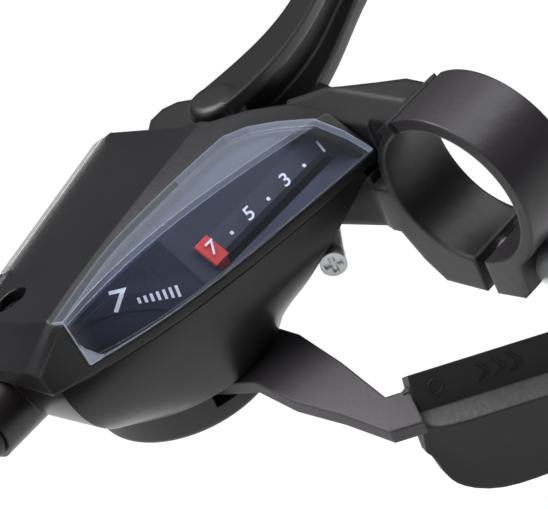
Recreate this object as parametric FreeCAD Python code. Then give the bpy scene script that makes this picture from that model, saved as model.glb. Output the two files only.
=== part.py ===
import FreeCAD, Part
import math
import os

os.makedirs("parts", exist_ok=True)

# Millimetres. Origin at the centre of the bar clamp, X outboard along the bar, Y forward, Z up.
V = FreeCAD.Vector
UP = V(0, 0, 1)
BAR_WAY = V(1, 0, 0)
CENTRE = V(0, 0, 0)

# Fits, walls and how far a cut runs past a face
RUN_FIT = 0.05
PRESS_FIT = 0.01
SEAT_GAP = 0.02
SNUG = 0.08
CLEAR = 0.3
SHELL_T = 1.5
STEEL_T = 2.0
OVER = 1.0
FAR = 100.0

# Springs: wire, rise of a turn in wire radii, straight lengths in a turn
COIL_WIRE_R = 0.4
COIL_PITCH = 2.4
COIL_STEPS = 16

# Shift unit plan, lengths counted inboard from the outboard end
UNIT_OUT_X = -2.0
UNIT_LEN = 48.6
UNIT_END = 5.4
STATIONS = [0.0, 3.0, 7.0, 12.0, 16.0, 20.0, 24.0, 28.0, 32.0, 36.0, 40.0, 44.4, UNIT_LEN]
PART_Z = 1.4
REAR_Y = 15.4
REAR_SLOPE = 0.14
REAR_SWEEP = 4.8
CREST_Y = 41.2
CREST_SLOPE = 0.15
CREST_SWEEP = 2.1
CREST_Z = 9.6
CREST_LAND = 1.0
BADGE_Y = 63.2
BADGE_SLOPE = 0.262
BADGE_Z = 5.0
BADGE_W = 3.4
BADGE_DROP = 2.0
END_IN = 3.0
END_DROP = 0.45
END_Z = CREST_Z * END_DROP
END_REAR_LINE = ((0.0, PART_Z), (0.2, PART_Z + END_DROP), (1.2, END_Z), (2.4, END_Z + 0.2), (4.0, END_Z + 0.4))
END_FRONT_LINE = ((-1.0, 3.0), (0.0, PART_Z + END_DROP), (0.2, PART_Z))

# Lower housing
HOUSING_FRONT_Y = 55.8
HOUSING_BASE_Z = -14.0
HOUSING_R = 16.6
HOUSING_START = 1.5
HOUSING_STOP = UNIT_LEN + UNIT_END - 1.0
HOUSING_FRONT_X = -13.6
HOUSING_FRONT_FALL = 6.0
HOUSING_END_IN = 0.6
HOUSING_MID_Z = -6.5
HOUSING_MID_IN = (16.0, 2.0)
HOUSING_MID_REAR = 0.8
HOUSING_MID_FRONT = (1.2, 0.4)
HOUSING_REAR_POINTS = 6
HOUSING_FRONT_POINTS = 5
HOUSING_REAR_DEG = (-48.0, -160.0)
HOUSING_FRONT_DEG = (160.0, 40.0)
FLOOR_T = 1.6
FLOOR_HOLE_R = 12.6
FLOOR_HOLE_Z = -10.0
SNOUT_Y = 43.0
SNOUT_Z = -3.6
SNOUT_X = (-61.0, -48.0)
SNOUT_R = 4.8
SNOUT_HOLE_X = -40.0
SPLIT_X = -30.0
SPLIT_REAR = (0.7, 1.9)

# Bar clamp
BAR_R = 11.1
CLAMP_W = 11.0
HALF_W = CLAMP_W / 2
BAND_T = 1.9
HALF_T = 2.2
HALF_R = BAR_R + HALF_T
BAND_R = BAR_R + BAND_T
SLIT_DEG = 63.0
SLIT_W = 1.2
HOOK_IN = 0.2
LUG_GAP = 1.8
LUG_WALL = 0.6
LUG_ROOF = 0.4
LUG_ROOT_Z = -6.6
BAND_LUG_Y = -7.4
BAND_ROOT_Z = -BAR_R * 0.72
BOLT_R = 2.0
BOLT_HEAD_R = 3.3
BOLT_HEAD_H = 3.6
BOLT_SOCKET_R = 2.3
BOLT_SOCKET_H = 2.52
BOLT_END_Y = 7.5
BOLT_Z = -(BAR_R + LUG_WALL + BOLT_R + LUG_ROOF)
LUG_Z = BOLT_Z - BOLT_R - LUG_WALL
LUG_SIDE = ((LUG_GAP / 2, LUG_Z), (8.3, LUG_Z + 0.4), (10.9, -13.1), (13.4, -8.2), (13.4, LUG_ROOT_Z),
            (LUG_GAP / 2, LUG_ROOT_Z))
BAND_LUG_SIDE = ((-LUG_GAP / 2, LUG_Z), (BAND_LUG_Y + 1.4, LUG_Z + 0.2), (BAND_LUG_Y, LUG_Z + 1.4),
                 (BAND_LUG_Y, BAND_ROOT_Z), (-LUG_GAP / 2, BAND_ROOT_Z))

# Bracket arm and beam
ARM_Z = (-8.5, 9.5)
BEAM_TOP_Z = PART_Z - 1.0
GAP_LINE = ((-4.9, 16.4), (-13.2, 57.6))
ARM_PLAN = ((-HALF_W, 7.0), (HALF_W, 7.0), (HALF_W + 0.3, 13.0), (4.2, 17.0), (2.2, 22.5), (0.4, 28.6), (-0.4, 31.5),
            (UNIT_OUT_X + CLEAR, 31.5), (UNIT_OUT_X + CLEAR, 15.1), (-4.2, 15.2), (-HALF_W, 14.6))
BEAM_PLAN = ((-HALF_W, 7.0), (HALF_W, 7.0), (HALF_W + 0.3, 13.0), (4.2, 20.0), (3.0, 27.0), (2.4, 36.0),
             (-4.4, 43.0), (-4.4, 63.0), (-13.6, 63.0), GAP_LINE[1], GAP_LINE[0], (-HALF_W, 14.6))
BEVEL_Y = (8.0, 36.0)
BEVEL_LOW_Z = 2.2
BEVEL_HIGH_X = UNIT_OUT_X + 4.6
RELIEF_WALL = 1.1
RELIEF_X = -1.0
RELIEF_Y = 8.4
RELIEF_Z = -1.0

# Brake pivot and lever
BRAKE_PIVOT = V(10.0, 35.0, 0)
BRAKE_PIN_R = 2.5
BRAKE_PIN_TAIL = 0.8
BRAKE_PIN_RIM = 1.2
BRAKE_PIN_HEAD_H = 0.9
BRAKE_BOSS_R = 6.3
BRAKE_BOSS_Z = (-11.0, -5.6)
EAR_T = 2.4
EAR_SLOT_Z = (BRAKE_BOSS_Z[0] - SNUG, BRAKE_BOSS_Z[1] + SNUG)
EAR_SLOT_R = BRAKE_BOSS_R + 2.2
EAR_MOUTH = (-9.6, 12.0, 9.0)
PIVOT_BLOCK_Z = (EAR_SLOT_Z[0] - EAR_T, EAR_SLOT_Z[1] + EAR_T)
EARS_PLAN = ((2.2, 18.0), (5.0, 18.0), (BRAKE_PIVOT.x + 6.2, BRAKE_PIVOT.y - 3.0),
             (BRAKE_PIVOT.x + 6.2, BRAKE_PIVOT.y + 2.0), (BRAKE_PIVOT.x + 3.5, BRAKE_PIVOT.y + 6.0),
             (BRAKE_PIVOT.x - 3.0, BRAKE_PIVOT.y + 6.0), (-1.0, 38.0))
BRAKE_SPRING_R = 4.0
BRAKE_SPRING_DEPTH = 2.4
BRAKE_SPRING_TURNS = 2.0
BRAKE_SPRING_POCKET = (5.0, 2.8)
LEVER_Z = (-8.0, 4.0)
LEVER_TIP_X = 86.0
LEVER_EDGE = 0.8
LEVER_INNER_EDGE = 0.4
LEVER_LEAST = 0.3
# Place along X, rear, front, rise of the low edge, fall of the high edge, wall
LEVER_SECTIONS = ((0.5, 46.8, 55.2, 0.0, 0.0, 2.2), (8.0, 46.4, 54.4, 0.0, 0.0, 2.2),
                  (20.0, 48.6, 54.8, 0.3, 0.2, 2.2), (34.0, 54.4, 59.6, 0.6, 0.6, 2.2),
                  (52.0, 60.4, 65.2, 0.8, 0.9, 2.6), (70.0, 62.8, 67.4, 1.2, 1.2, 3.0),
                  (LEVER_TIP_X, 65.6, 69.4, 2.0, 2.0, 3.4))
LEVER_LOBE = V(1.5, 51.0, 0)
LEVER_LOBE_R = 4.0
LEVER_LOBE_ROUND = 1.4
LEVER_KNOB_R = 4.6
LEVER_KNOB_Y = 67.6
LEVER_PLATE_PLAN = ((BRAKE_PIVOT.x + 5.6, BRAKE_PIVOT.y + 2.6), (BRAKE_PIVOT.x + 8.0, 47.0),
                    (BRAKE_PIVOT.x + 8.0, 50.5), (-0.4, 51.5), (-2.2, 49.5), (-1.4, 46.5))
HEEL_HALF_W = 1.8
HEEL_GAP = 0.12

# Brake cable: stop, adjuster, locknut and the pocket for the cable's end
CABLE_Y = HOUSING_FRONT_Y + 5.2
CABLE_Z = -4.0
CABLE_BORE_R = 1.0
CABLE_HOLE_R = 1.4
CABLE_SEAT_R = 2.6
CABLE_STOP_X = (-24.0, -12.0)
CABLE_STOP_R = 4.3
STOP_THREAD_X = -14.0
ADJUSTER_R = 3.0
BRAKE_THREAD_X = (-34.0, -15.0)
BRAKE_BARREL_X = (-41.0, -32.0)
BRAKE_BARREL_R = 3.8
BRAKE_SEAT_X = -36.0
BRAKE_GROOVES = (8, 4.1, 0.6, -33.0)
LOCKNUT_X = (-26.4, CABLE_STOP_X[0] - SEAT_GAP)
LOCKNUT_R = 4.2
LOCKNUT_GROOVES = (10, 4.4, 0.55)
ANCHOR_TOP_Z = -1.0
ANCHOR_ROOF_T = 1.1
ANCHOR_X = 0.4
ANCHOR_R = 3.2
ANCHOR_SLIT_W = 1.8
ANCHOR_SLIT_X = -6.0
ANCHOR_PLAN = ((-2.4, 52.0), (6.0, 53.0), (5.4, 61.0), (4.2, 63.6), (2.2, 65.0), (-0.6, 65.0), (-2.6, 63.6),
               (-3.4, 60.6))

# Reach screw
REACH_R = 1.4
REACH_LEN = 23.9
REACH_DIR = V(0.70, 0.714, 0)
REACH_HEAD = V(-14.2, 18.3, -6.8)
REACH_TIP = REACH_HEAD + REACH_DIR * REACH_LEN
REACH_HEAD_H = 2.0
REACH_HEAD_R = 1.9
RECESS_R = 0.4
REACH_RECESS = 1.3

# Bolt that holds the shift unit to the bracket
UNIT_BOLT_Y = 38.0
UNIT_BOLT_Z = -2.6
UNIT_BOLT_R = 2.0
UNIT_BOLT_X = -14.0
UNIT_HEAD_X = -1.4
UNIT_HEAD_R = 2.8
UNIT_HEAD_H = 2.4
UNIT_HEAD_HOLE_R = 3.0
UNIT_HEAD_HOLE_X = 3.4
UNIT_SOCKET_R = 1.4
UNIT_SOCKET_X = -0.4
UNIT_BOSS_R = 3.0
UNIT_BOSS_X = (-16.0, -4.0)

# Upper cover and window
COVER_CORNER = ((-2.0, 28.5), (-5.1, 34.4), (-9.0, 38.6), (-10.4, 44.0))
COVER_CORNER_LEAD = (2.0, 4.0)
COVER_DEEP = 4.0
COVER_SCREW = V(-46.0, HOUSING_FRONT_Y - 9.8, 0)
COVER_SCREW_R = 1.25
COVER_SCREW_HOLE_R = 1.3
COVER_SCREW_Z = (-0.8, 3.2, 4.6)
COVER_SCREW_HEAD_R = 2.2
COVER_SCREW_POCKET_R = 2.5
COVER_SCREW_RECESS = 1.5
COVER_SLEEVE_R = 3.4
COVER_SLEEVE_Z = 6.2
COLUMN_R = 3.0
COLUMN_Z = -1.4
COLUMN_FLOOR = 0.4
COLUMN_WEB_W = 2.0
WINDOW_IN = 0.2
WINDOW_LOW_Z = 3.0
WINDOW_FRONT_Y = 34.7
WINDOW_FRONT_BOW = 0.0034
WINDOW_FRONT_Z = 9.1
WINDOW_SWEEP = ((-11.6, 34.2), (-8.6, 31.5), (-6.4, 27.6), (-4.05, 21.9), (-2.9, 19.1), (-2.4, 16.2))
RIDGE_Y = 22.0
RIDGE_SLOPE = 0.19
RIDGE_SWEEP = 3.0
RIDGE_Z = 8.3
RIDGE_RISE = 2.3
RIDGE_SPAN = 1.35 * UNIT_LEN
LENS_T = 1.2
LENS_PROUD = 0.35
LENS_START = 0.4
LEDGE = 0.55
LENS_STATIONS = [LENS_START] + STATIONS[1:]
POCKET_STATIONS = [LENS_START - SNUG] + STATIONS[1:-1] + [UNIT_LEN + SNUG]
POCKET_REACH = 3.0
OPEN_STATIONS = [LENS_START + LEDGE] + STATIONS[1:-1] + [UNIT_LEN - LEDGE]
OPEN_REACH = 4.0
BADGE_STATIONS = (10.0, 15.6, 25.6, 37.6)
BADGE_IN = 0.3
BADGE_T = 0.5

# Dial: the numbers lie on a slope that runs parallel to the bar
SLOPE_DEG = 41.0
NUMBER_Y = 23.4
NUMBER_Z = 5.0
FIRST_X = -27.9
GEARS = 7
GEAR_PITCH_X = 3.8
LAST_X = FIRST_X + (GEARS - 1) * GEAR_PITCH_X
DIAL_DEPTH = 1.2
DIAL_T = 0.8
DIAL_ALONG = (-2.9, 5.4)
DIAL_BACK = (6.0, -0.6)
DIAL_X = (-60.0, 0.0)
DIAL_DEEP = 8.0
DIAL_START = SHELL_T + 0.05
DIAL_IN = SHELL_T + 0.02
TRAY_STATIONS = (30.0, 33.0, 36.0, 40.0, 44.4, UNIT_LEN - CLEAR)
TRAY_DEPTH = 1.65
TRAY_REACH = -0.6
TRAY_IN = SHELL_T + 0.06
STEM_ALONG = -2.3
STEM_HALF = (0.8, 0.4)
STEM_TOP = (-2.2, 0.6)
STEM_SLOT_X = 0.95
STEM_SLOT_Y = (-0.7, 0.9)
STEM_SLOT_Z = (0.0, 6.0)
FLAG_HALF_W = 1.3
FLAG_ALONG = (-2.1, 1.9)
FLAG_DEPTH = 0.85
FLAG_T = 0.5

# Shift axis and its stack of levels
AXIS = V(-30.0, 40.0, 0)
AXLE_R = 3.0
AXLE_Z = (-18.4, 6.1)
AXLE_HEAD_R = 5.4
AXLE_HEAD_H = 1.4
AXLE_NUT_W = 8.0
AXLE_NUT_Z = (4.1, 5.7)
BASE_Z = (HOUSING_BASE_Z + FLOOR_T + SEAT_GAP, HOUSING_BASE_Z + FLOOR_T + 1.5)
BASE_R = FLOOR_HOLE_R + 1.2
BASE_EAR_R = 1.9
CAP_R = 14.2
CAP_BASE_Z = -20.6
CAP_ROUND = 1.2
CAP_GATE_DEG = (-116.0, -10.0)
CAP_GATE_Z = -17.6
CAP_GATE_DEEP = 4.0
SHIFT_THREAD_X = (-64.0, -51.0)
SHIFT_BARREL_X = (-71.0, -61.1)
SHIFT_BARREL_R = 4.2
SHIFT_SEAT_X = -66.0
SHIFT_GROOVES = (9, 4.6, 0.7, -62.4)

# Drum, its crank and the indicator's fork
DRUM_R = 8.0
DRUM_RIM_R = DRUM_R + 1.4
DRUM_CORE_R = DRUM_R - 1.6
LOW_TEETH_R = DRUM_R - 0.8
LOW_TEETH_Z = (-10.5, -8.8)
GROOVE_Z = (-8.3, -4.8)
TOP_TEETH_Z = (-4.4, -2.8)
TOOTH_H = 1.2
TOOTH_LEAN = 0.85
DRUM_SWING_DEG = 112.0
DRUM_SPRING_R = 4.4
DRUM_SPRING_LIFT = 0.7
DRUM_SPRING_TURNS = 2.0
CRANK_R = (GEARS - 1) * GEAR_PITCH_X / 2 / math.sin(math.radians(DRUM_SWING_DEG / 2))
CRANK_DEG = -90.0 - DRUM_SWING_DEG / 2
CRANK_PIN_R = 0.75
CRANK_PIN_TOP = 0.4
CRANK_Z = (-0.4, 1.0)
CRANK_ROOT = ((-3.0, 0.0), (2.0, -4.0))
CRANK_END = ((1.6, -0.8), (-0.4, -1.6), (-1.6, 0.6))
FORK_PLAY = 0.85
FORK_WALL = 0.8
FORK_TIP = 0.2
FORK_BACK = (2.6, 1.4)
FORK_Z = (CRANK_Z[1] + 0.45, CRANK_Z[1] + 1.15)
BAR_LAP = 0.5
BAR_Y = (1.6, 2.2, 4.4)
BAR_TAPER_X = -2.4
FOOT_Y = 2.0

# Pawls and their pins
PAWL_PIN_R = 1.0
FEED_DEG = -70.0
FEED_R = 10.9
FEED_W = 2.6
FEED_NOSE_R = DRUM_R + TOOTH_H + 0.1
FEED_NOSE_DEG = 26.0
FEED_TOP_GAP = 0.2
FEED_PIN_Z = (-16.5, LOW_TEETH_Z[1] + 0.2)
FEED_SLOT_HALF = 1.7
FEED_SLOT_DEG = 10.0
STOP_DEG = 125.0
STOP_R = 12.0
STOP_W = 3.2
STOP_NOSE_R = DRUM_R + TOOTH_H + 0.3
STOP_NOSE_DEG = 34.0
STOP_LIFT = 0.2
STOP_PIN_TOP = 0.3

# Thumb lever: flat hub, sloping arm and a last flat that turns into the pad
THUMB_SWING_DEG = 40.0
THUMB_SPRING_R = 6.6
THUMB_SPRING_Z = -14.0
THUMB_SPRING_TURNS = 1.2
HUB_Z = -14.6
HUB_R = 11.6
ARM_FALL = 0.36
BEND_Y = 21.5
BEND_X = (-22.6, -32.6)
NECK_TOP = ((-22.0, 33.0), (-36.0, 31.0))
BEND = ((-25.0, 5.9), (-29.4, 2.0))
SLOPE_INNER = ((-32.4, 15.5), (-30.6, 9.0))
SLOPE_OUTER = (-23.4, 14.0)
TONGUE_IN = 0.05
# Places along the pad and behind it, from the tongue's root
TONGUE_PLAN = ((0.0, 0.6), (2.0, 0.2), (11.0, 0.2), (11.0, -2.0), (2.0, -2.0), (0.0, 0.0))
TONGUE_ROOT = 1.0
PAD_START = V(-22.1, 3.2, -18.2)
PAD_DIR = V(0.835, -0.51, -0.213)
PAD_ALONG = V(PAD_DIR).normalize()
PAD_BACK = PAD_ALONG.cross(UP).normalize()
PAD_RISE = PAD_BACK.cross(PAD_ALONG).normalize()
PAD_LEN = 33.0
PAD_H = 20.4
PAD_STATIONS = 28
# Share of the length, of the height and of the thickness at places along the pad
PAD_OUTLINE = ((0.0, 0.56, 0.5), (0.06, 0.76, 0.78), (0.14, 0.9, 0.95), (0.27, 0.985, 1.0), (0.42, 1.0, 1.0),
               (0.65, 0.95, 1.0), (0.83, 0.83, 0.94), (0.94, 0.68, 0.82), (1.0, 0.48, 0.62))
PAD_TOP = (-3.8, -2.7)
PAD_LIP = (1.6, 0.8)
PAD_LEDGE = (0.62, 6.6)
PAD_LEDGE_OUT = 3.2
PAD_DISH = ((2.9, 0.72), (3.3, 0.94))
PAD_FOOT = ((1.5, 1.0), (-2.6, 0.86))

# Release lever
RELEASE_R = 13.0
RELEASE_DEG = 44.0
RELEASE_Z = (-10.6, -8.9)
RELEASE_PIN_R = 1.5
RELEASE_PIN_TOP = 0.4
RELEASE_GATE_X = (-27.0, -2.0)
RELEASE_GATE_Y = (46.8, 62.0)
RELEASE_PLAY = 0.6
RELEASE_ROOT = ((-2.4, 2.2), (-3.0, -1.6), (1.0, -3.0))
RELEASE_REACH = ((-10.0, 58.4), (1.0, 65.4), (-0.6, 68.4), (-12.0, 61.6))
RELEASE_PAD_PLAN = ((-2.6, 64.8), (4.0, 63.4), (7.6, 66.6), (6.8, 70.8), (-1.4, 70.4))
RELEASE_PAD_Z = (-15.6, -8.6)


def box(x0, x1, y0, y1, z0, z1):
    return Part.makeBox(x1 - x0, y1 - y0, z1 - z0, V(x0, y0, z0))


def rod(start, end, radius):
    return Part.makeCylinder(radius, (end - start).Length, start, end - start)


def bar_rod(x0, x1, y, z, radius):
    return rod(V(x0, y, z), V(x1, y, z), radius)


def post(centre, radius, z0, z1):
    return Part.makeCylinder(radius, z1 - z0, V(centre.x, centre.y, z0))


def bore(centre, radius):
    return post(centre, radius, -FAR, FAR)


def wire(points):
    return Part.makePolygon(points + [points[0]])


def prism(plan, z0, z1):
    face = Part.Face(wire([V(x, y, z0) for x, y in plan]))
    return face.extrude(UP * (z1 - z0))


def along_x(sections, ruled=True):
    wires = [wire([V(x, y, z) for y, z in points]) for x, points in sections]
    return Part.makeLoft(wires, True, ruled)


def around(centre, radius, degrees, z=0):
    angle = math.radians(degrees)
    return V(centre.x + radius * math.cos(angle), centre.y + radius * math.sin(angle), z)


def sector(centre, inner, outer, start, end, z0, z1):
    ring = post(centre, outer, z0, z1).cut(post(centre, inner, z0, z1))
    wedge = Part.makeCylinder(outer + OVER, z1 - z0, V(centre.x, centre.y, z0), UP, end - start)
    wedge.rotate(centre, UP, start)
    return ring.common(wedge)


def coil(centre, radius, z0, turns):
    # A spring drawn as short straight lengths of wire with mitred corners
    pitch = COIL_WIRE_R * COIL_PITCH
    points = []
    for k in range(round(turns * COIL_STEPS) + 1):
        points.append(around(CENTRE, radius, 360.0 * k / COIL_STEPS, pitch * k / COIL_STEPS))
    section = Part.Wire(Part.makeCircle(COIL_WIRE_R, points[0], points[1] - points[0]))
    spring = Part.makePolygon(points).makePipeShell([section], True, False, 1)
    spring.translate(V(centre.x, centre.y, z0))
    return spring


def ratchet(radius, z0, z1):
    count = round(360.0 * (GEARS - 1) / DRUM_SWING_DEG)
    plan = []
    for tooth in range(count):
        for turn, r in ((tooth, radius), (tooth + TOOTH_LEAN, radius + TOOTH_H)):
            at = around(AXIS, r, 360.0 * turn / count)
            plan.append((at.x, at.y))
    return prism(plan, z0, z1)


def shifted(points, distance):
    # An open line of points moved sideways, to the right of its direction
    lines = []
    for (y0, z0), (y1, z1) in zip(points, points[1:]):
        length = math.hypot(y1 - y0, z1 - z0)
        side = ((z1 - z0) / length * distance, -(y1 - y0) / length * distance)
        lines.append(((y0 + side[0], z0 + side[1]), (y1 + side[0], z1 + side[1])))
    moved = [lines[0][0]]
    for (a, b), (c, d) in zip(lines, lines[1:]):
        p = (b[0] - a[0], b[1] - a[1])
        q = (d[0] - c[0], d[1] - c[1])
        cross = p[0] * q[1] - p[1] * q[0]
        t = ((c[0] - a[0]) * q[1] - (c[1] - a[1]) * q[0]) / cross
        moved.append((a[0] + p[0] * t, a[1] + p[1] * t))
    return moved + [lines[-1][1]]


def stretched(points, distance):
    # An open line of points made longer at both ends
    ends = []
    for (y0, z0), (y1, z1) in ((points[1], points[0]), (points[-2], points[-1])):
        length = math.hypot(y1 - y0, z1 - z0)
        ends.append((y1 + (y1 - y0) / length * distance, z1 + (z1 - z0) / length * distance))
    return [ends[0]] + points[1:-1] + [ends[1]]


def save(name, shape):
    shape.exportStep("parts/" + name + ".step")


# Long lines of the unit, as heights and depths at a place s along it
def unit_x(s):
    return UNIT_OUT_X - s


def rear_y(s):
    return REAR_Y + REAR_SLOPE * s + REAR_SWEEP * (s / UNIT_LEN) ** 4


def crest_y(s):
    return CREST_Y - CREST_SLOPE * s - CREST_SWEEP * (s / UNIT_LEN) ** 3


def badge_y(s):
    return BADGE_Y - BADGE_SLOPE * s


def window_line(s):
    low = (rear_y(s) + WINDOW_IN, WINDOW_LOW_Z)
    ridge_y = RIDGE_Y + RIDGE_SLOPE * s - RIDGE_SWEEP * (s / UNIT_LEN) ** 4
    ridge_z = RIDGE_Z + RIDGE_RISE * math.sin(math.pi * s / RIDGE_SPAN)
    front_y = WINDOW_FRONT_Y - WINDOW_FRONT_BOW * (s - UNIT_LEN / 2) ** 2
    return [low, (ridge_y, ridge_z), (min(front_y, crest_y(s) - CREST_LAND), WINDOW_FRONT_Z)]


def cover_line(s):
    crest = (crest_y(s), CREST_Z)
    badge = (badge_y(s), BADGE_Z)
    edge = (badge_y(s) + BADGE_W, BADGE_Z - BADGE_DROP)
    return [(rear_y(s), PART_Z)] + window_line(s) + [crest, badge, edge, (edge[0], PART_Z)]


def end_line():
    rear = rear_y(UNIT_LEN) + END_IN
    front = badge_y(UNIT_LEN + UNIT_END)
    return [(rear + y, z) for y, z in END_REAR_LINE] + [(front + y, z) for y, z in END_FRONT_LINE]


def deepened(line, depth):
    return [(line[0][0], PART_Z - depth)] + line[1:-1] + [(line[-1][0], PART_Z - depth)]


# Bracket: clamp half, arm, brake pivot ears, front beam and cable stop
def bar_space():
    return bar_rod(-CLAMP_W, CLAMP_W, 0, 0, BAR_R)


def clamp_ring(outer):
    return bar_rod(-HALF_W, HALF_W, 0, 0, outer).cut(bar_space())


def clamp_side(y0, y1, degrees):
    side = box(-CLAMP_W, CLAMP_W, y0, y1, -FAR, FAR)
    side.rotate(CENTRE, BAR_WAY, degrees)
    return side


def slit():
    cut = box(-CLAMP_W, CLAMP_W, 0, 2 * HALF_R, -SLIT_W / 2, SLIT_W / 2)
    cut.rotate(CENTRE, BAR_WAY, SLIT_DEG)
    return cut


def make_bracket():
    ring = clamp_ring(HALF_R).cut(clamp_side(-FAR, 0, SLIT_DEG - 90.0))
    lug = along_x([(-HALF_W, list(LUG_SIDE)), (HALF_W, list(LUG_SIDE))])
    arm = prism(ARM_PLAN, ARM_Z[0], ARM_Z[1])
    high_z = ARM_Z[1] + OVER
    bevel = Part.Face(wire([V(-HALF_W - OVER, BEVEL_Y[0], high_z), V(-HALF_W - OVER, BEVEL_Y[0], BEVEL_LOW_Z),
                            V(BEVEL_HIGH_X, BEVEL_Y[0], high_z)]))
    arm = arm.cut(bevel.extrude(V(0, BEVEL_Y[1] - BEVEL_Y[0], 0)))
    p = BRAKE_PIVOT
    slot = post(p, EAR_SLOT_R, EAR_SLOT_Z[0], EAR_SLOT_Z[1])
    mouth = box(p.x + EAR_MOUTH[0], p.x + EAR_MOUTH[1], p.y, p.y + EAR_MOUTH[2], EAR_SLOT_Z[0], EAR_SLOT_Z[1])
    ears = prism(EARS_PLAN, PIVOT_BLOCK_Z[0], PIVOT_BLOCK_Z[1])
    ears = ears.cut(slot).cut(mouth).cut(bore(p, BRAKE_PIN_R + RUN_FIT))
    beam = prism(BEAM_PLAN, ARM_Z[0], BEAM_TOP_Z).cut(slot).cut(mouth)
    stop = bar_rod(CABLE_STOP_X[0], CABLE_STOP_X[1], CABLE_Y, CABLE_Z, CABLE_STOP_R)
    shape = arm.fuse([beam, ears, lug, ring, stop]).removeSplitter()
    relief = box(-HALF_W - OVER, RELIEF_X, RELIEF_Y, REAR_Y, RELIEF_Z, ARM_Z[1])
    shape = shape.cut(relief.cut(bar_rod(-CLAMP_W, CLAMP_W, 0, 0, BAR_R + RELIEF_WALL)))
    shape = shape.cut(bar_space()).cut(slit())
    shape = shape.cut(box(-CLAMP_W, CLAMP_W, -FAR, LUG_GAP / 2, -FAR, 0))
    shape = shape.cut(rod(V(0, 0, BOLT_Z), V(0, BOLT_END_Y + OVER, BOLT_Z), BOLT_R + SNUG))
    shape = shape.cut(bar_rod(CABLE_STOP_X[0] - OVER, 0, CABLE_Y, CABLE_Z, CABLE_HOLE_R))
    shape = shape.cut(bar_rod(CABLE_STOP_X[0] - OVER, STOP_THREAD_X, CABLE_Y, CABLE_Z, ADJUSTER_R + SNUG))
    shape = shape.cut(rod(REACH_HEAD, REACH_TIP, REACH_R + SNUG))
    shape = shape.cut(bar_rod(UNIT_BOLT_X, 0, UNIT_BOLT_Y, UNIT_BOLT_Z, UNIT_BOLT_R + SNUG))
    return shape.cut(bar_rod(UNIT_HEAD_X, UNIT_HEAD_HOLE_X, UNIT_BOLT_Y, UNIT_BOLT_Z, UNIT_HEAD_HOLE_R))


def make_band():
    ring = clamp_ring(BAND_R).cut(clamp_side(0, FAR, SLIT_DEG - 90.0))
    ring = ring.cut(box(-CLAMP_W, CLAMP_W, -LUG_GAP / 2, FAR, -FAR, 0)).cut(slit())
    lug = along_x([(-HALF_W, list(BAND_LUG_SIDE)), (HALF_W, list(BAND_LUG_SIDE))])
    shape = ring.fuse(lug).removeSplitter().cut(bar_space())
    shape = shape.cut(rod(V(0, BAND_LUG_Y - OVER, BOLT_Z), V(0, 0, BOLT_Z), BOLT_R + SNUG))
    hook = box(-CLAMP_W / 4, CLAMP_W / 4, BAR_R + HOOK_IN, BAND_R - HOOK_IN, -SLIT_W / 2, SLIT_W)
    hook.rotate(CENTRE, BAR_WAY, SLIT_DEG)
    return shape.fuse(hook).removeSplitter()


def make_clamp_bolt():
    face_y = BAND_LUG_Y - BOLT_HEAD_H
    shank = rod(V(0, BAND_LUG_Y, BOLT_Z), V(0, BOLT_END_Y, BOLT_Z), BOLT_R)
    head = rod(V(0, face_y, BOLT_Z), V(0, BAND_LUG_Y, BOLT_Z), BOLT_HEAD_R)
    corners = [around(CENTRE, BOLT_SOCKET_R, 60.0 * k) for k in range(6)]
    socket = Part.Face(wire([V(c.x, face_y, BOLT_Z + c.y) for c in corners]))
    head = head.cut(socket.extrude(V(0, BOLT_SOCKET_H, 0)))
    return shank.fuse(head).removeSplitter()


# Brake lever, its pin, screw and cable adjuster
def lever_section(x, rear, front, rise, fall, wall):
    low = LEVER_Z[0] + rise
    high = LEVER_Z[1] - fall
    inner = max(rear + LEVER_LEAST, front - wall)
    return (x, [(rear, high), (front, high - LEVER_EDGE), (front, low + LEVER_EDGE), (rear, low),
                (rear, low + wall), (inner, low + wall + LEVER_INNER_EDGE),
                (inner, high - wall - LEVER_INNER_EDGE), (rear, high - wall)])


def make_lever():
    low, high = LEVER_Z
    blade = along_x([lever_section(*section) for section in LEVER_SECTIONS], False)
    lobe = post(LEVER_LOBE, LEVER_LOBE_R, low, high)
    top_edges = [e for e in lobe.Edges if e.BoundBox.ZMin > high - SNUG]
    lobe = lobe.makeFillet(LEVER_LOBE_ROUND, top_edges)
    knob = Part.makeSphere(LEVER_KNOB_R, V(LEVER_TIP_X, LEVER_KNOB_Y, (low + high) / 2))
    heel = REACH_TIP + REACH_DIR * HEEL_GAP
    across = V(REACH_DIR.y, -REACH_DIR.x, 0) * HEEL_HALF_W
    ends = [(heel.x + across.x, heel.y + across.y), (heel.x - across.x, heel.y - across.y)]
    plate = prism([ends[0]] + list(LEVER_PLATE_PLAN) + [ends[1]], BRAKE_BOSS_Z[0], BRAKE_BOSS_Z[1])
    boss = post(BRAKE_PIVOT, BRAKE_BOSS_R, BRAKE_BOSS_Z[0], BRAKE_BOSS_Z[1])
    anchor = prism(ANCHOR_PLAN, low, ANCHOR_TOP_Z)
    shape = blade.fuse([lobe, knob, plate, boss, anchor]).removeSplitter()
    shape = shape.cut(bore(BRAKE_PIVOT, BRAKE_PIN_R + RUN_FIT))
    pocket_r, pocket_h = BRAKE_SPRING_POCKET
    shape = shape.cut(post(BRAKE_PIVOT, pocket_r, BRAKE_BOSS_Z[1] - pocket_h, 0))
    roof_z = ANCHOR_TOP_Z - ANCHOR_ROOF_T
    shape = shape.cut(post(V(ANCHOR_X, CABLE_Y, 0), ANCHOR_R, low - OVER, roof_z))
    half = ANCHOR_SLIT_W / 2
    return shape.cut(box(ANCHOR_SLIT_X, ANCHOR_X, CABLE_Y - half, CABLE_Y + half, low - OVER, roof_z))


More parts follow.
